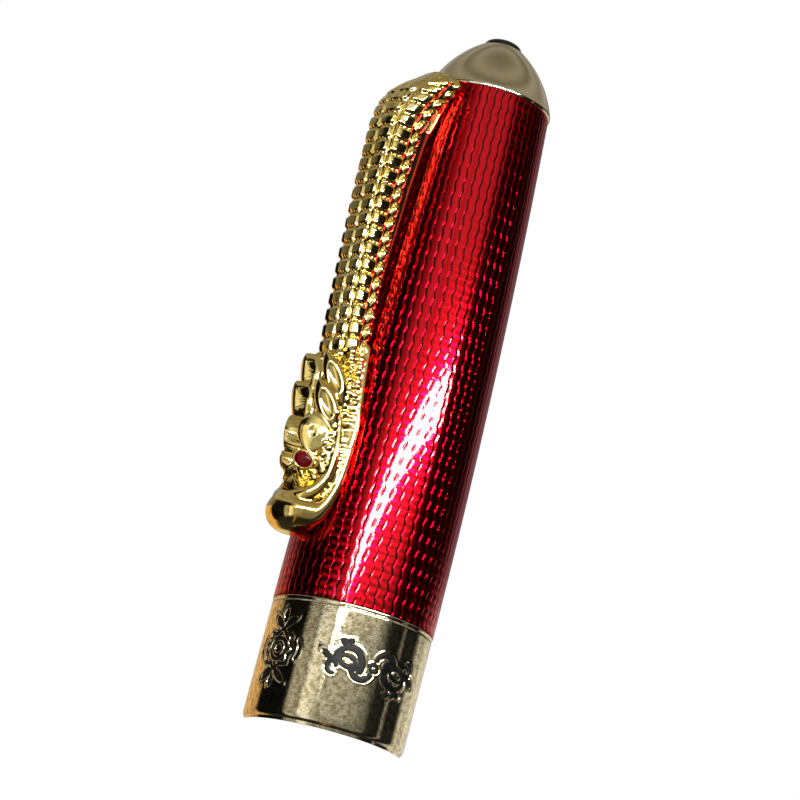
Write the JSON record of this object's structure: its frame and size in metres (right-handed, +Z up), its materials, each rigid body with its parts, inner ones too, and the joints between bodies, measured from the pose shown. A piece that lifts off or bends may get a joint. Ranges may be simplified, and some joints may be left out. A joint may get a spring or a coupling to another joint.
{
  "type": "pen cap",
  "caption": "Tapered enamelled fountain pen cap with a sprung cast reptile pocket clip, domed finial with a black cabochon, engraved mouth band and snap-fit lining.",
  "frame": {"origin": "centre of the open mouth, in the plane of the rim", "axes": "+Z up the cap's axis from the mouth to the finial; the pocket clip hangs on the -Y side"},
  "size_m": [0.0148, 0.0186, 0.0677],
  "materials": {
    "gilt_band": "gilt and polished, fine pitting between the ornaments",
    "gilt_finial": "gilt, mirror polished",
    "gilt_clip": "gilt casting, bright on the scales and darker in the grooves",
    "tube_brass": "engine-turned brass under the lacquer",
    "turned_brass": "turned",
    "red_enamel": "translucent red lacquer, high gloss, over a wavy engine-turned ground",
    "inlay_black": "black enamel fill",
    "jewel_black": "polished black cabochon",
    "eye_red": "glossy red enamel",
    "lining_plastic": "satin moulded",
    "spring_steel": "drawn wire",
    "plated_steel": "nickel plated"
  },
  "bodies": {
    "cap": {"mouth_band": "gilt_band", "cap_tube": "tube_brass", "lacquer_coat": "red_enamel", "mouth_bushing": "lining_plastic", "snap_ring": "spring_steel", "inner_cap": "lining_plastic", "lock_washer": "spring_steel", "stud_nut": "turned_brass", "finial_stud": "plated_steel", "finial": "gilt_finial", "finial_jewel": "jewel_black", "neck_plug": "turned_brass", "clip_pivot_pin": "plated_steel", "clip_spring": "spring_steel", "inlay_rosette_front": "inlay_black", "inlay_rosette_back": "inlay_black", "inlay_scroll_right": "inlay_black", "inlay_scroll_left": "inlay_black"},
    "clip": {"clip_casting": "gilt_clip", "clip_eye_left": "eye_red", "clip_eye_right": "eye_red"}
  },
  "joints": [
    {"name": "clip_hinge", "type": "hinge", "parent": "cap", "child": "clip", "pos_m": [0, -0.0039, 0.0599], "axis": [-1, 0, 0], "range_deg": [0, 6], "stiffness_Nm_per_rad": 0.6, "springref_deg": -3.44, "deforming": ["clip_spring"]}
  ]
}
